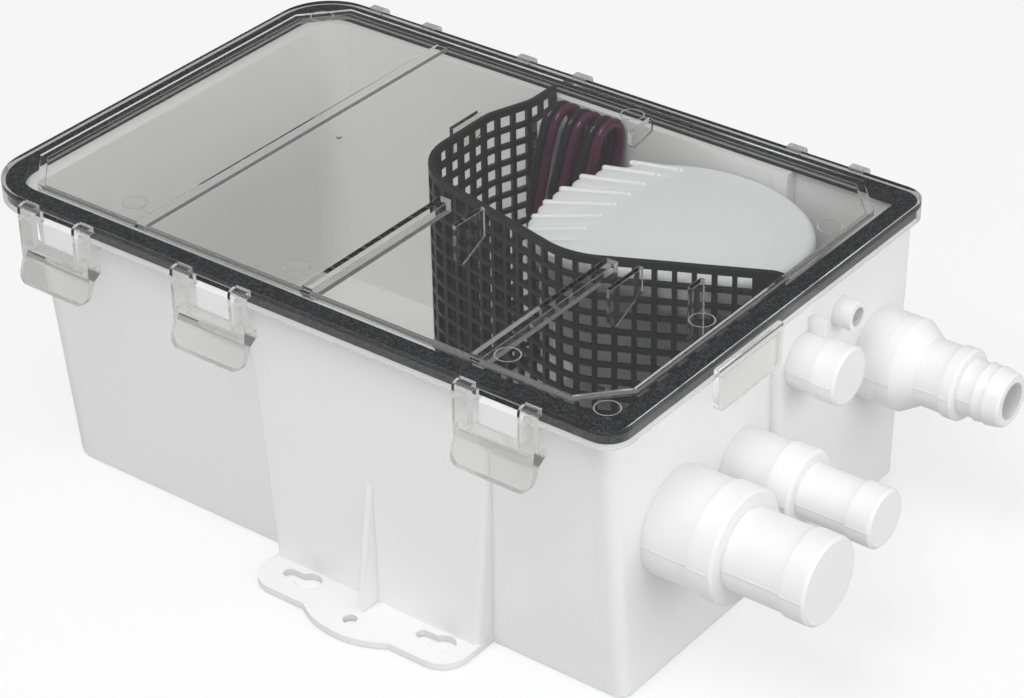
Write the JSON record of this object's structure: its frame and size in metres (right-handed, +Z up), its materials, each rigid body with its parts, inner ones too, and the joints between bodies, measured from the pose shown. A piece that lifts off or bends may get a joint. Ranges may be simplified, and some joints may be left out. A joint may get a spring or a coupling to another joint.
{
  "type": "shower sump pump",
  "caption": "Moulded box with a clip-down clear lid, stepped hose barbs, a bent perforated screen and a float-switched pump that drains it through a check valve.",
  "frame": {"origin": "on the base plane, under the middle of the lid", "axes": "+X to the end with the hose barbs, +Y to the back long side, +Z up"},
  "size_m": [0.3209, 0.2094, 0.1153],
  "materials": {
    "tub": "smooth moulded white",
    "lid": "clear moulded plastic",
    "foam": "closed-cell foam, matte",
    "screen": "satin black",
    "pump": "satin pale grey",
    "pump_cap": "satin pale grey",
    "impeller": "moulded black",
    "float": "closed foam, amber",
    "seal": "smooth",
    "rubber": "smooth",
    "steel": "stainless",
    "bronze": "sintered",
    "lead": "glossy, black and dark red wires"
  },
  "bodies": {
    "tub": {"tub": "tub", "outlet_fitting": "tub", "outlet_seal": "seal", "flap_pin": "steel", "strainer_base": "pump", "base_screws": "steel", "volute": "pump", "shaft_seal": "seal", "motor_can": "steel", "end_bell": "steel", "lower_bearing": "bronze", "upper_bearing": "bronze", "motor_housing": "pump", "switch_stem": "pump", "pump_cap": "pump_cap", "rubber_elbow": "rubber", "lower_clamp": "steel", "upper_clamp": "steel", "lead_gland": "rubber", "lead_run": "lead", "lead_coil": "lead"},
    "lid": {"lid": "lid", "gasket": "foam"},
    "screen": {"filter_screen": "screen"},
    "rotor": {"impeller": "impeller", "rotor_shaft": "steel"},
    "float": {"switch_float": "float"},
    "flap": {"valve_flap": "seal"},
    "latch_left_front": {"latch_left_front": "lid"},
    "latch_left_back": {"latch_left_back": "lid"},
    "latch_middle_front": {"latch_middle_front": "lid"},
    "latch_middle_back": {"latch_middle_back": "lid"},
    "latch_right_front": {"latch_right_front": "lid"},
    "latch_right_back": {"latch_right_back": "lid"}
  },
  "joints": [
    {"name": "lid_lift", "type": "slide", "parent": "tub", "child": "lid", "axis": [0, 0, 1], "range_m": [0, 0.16], "deforming": ["latch_left_front", "latch_left_back", "latch_middle_front", "latch_middle_back", "latch_right_front", "latch_right_back"]},
    {"name": "screen_lift", "type": "slide", "parent": "tub", "child": "screen", "axis": [0, 0, 1], "range_m": [0, 0.112]},
    {"name": "impeller_spin", "type": "hinge", "parent": "tub", "child": "rotor", "pos_m": [0.074, 0.0435, 0.03], "axis": [0, 0, 1], "continuous": true},
    {"name": "float_rise", "type": "slide", "parent": "tub", "child": "float", "axis": [0, 0, 1], "range_m": [0, 0.014]},
    {"name": "flap_swing", "type": "hinge", "parent": "tub", "child": "flap", "pos_m": [0.1351, 0.0665, 0.0694], "axis": [0, -1, 0], "range_deg": [0, 60]},
    {"name": "latch_left_front_flex", "type": "hinge", "parent": "lid", "child": "latch_left_front", "pos_m": [-0.095, -0.091, 0.1135], "axis": [-1, 0, 0], "range_deg": [0, 10], "stiffness_Nm_per_rad": 0.05},
    {"name": "latch_left_back_flex", "type": "hinge", "parent": "lid", "child": "latch_left_back", "pos_m": [-0.095, 0.091, 0.1135], "axis": [1, 0, 0], "range_deg": [0, 10], "stiffness_Nm_per_rad": 0.05},
    {"name": "latch_middle_front_flex", "type": "hinge", "parent": "lid", "child": "latch_middle_front", "pos_m": [-0.025, -0.091, 0.1135], "axis": [-1, 0, 0], "range_deg": [0, 10], "stiffness_Nm_per_rad": 0.05},
    {"name": "latch_middle_back_flex", "type": "hinge", "parent": "lid", "child": "latch_middle_back", "pos_m": [-0.025, 0.091, 0.1135], "axis": [1, 0, 0], "range_deg": [0, 10], "stiffness_Nm_per_rad": 0.05},
    {"name": "latch_right_front_flex", "type": "hinge", "parent": "lid", "child": "latch_right_front", "pos_m": [0.0925, -0.091, 0.1135], "axis": [-1, 0, 0], "range_deg": [0, 10], "stiffness_Nm_per_rad": 0.05},
    {"name": "latch_right_back_flex", "type": "hinge", "parent": "lid", "child": "latch_right_back", "pos_m": [0.0925, 0.091, 0.1135], "axis": [1, 0, 0], "range_deg": [0, 10], "stiffness_Nm_per_rad": 0.05}
  ],
  "couplings": [
    {"joint": "screen_lift", "follows": "lid_lift", "ratio": 0.7}
  ]
}
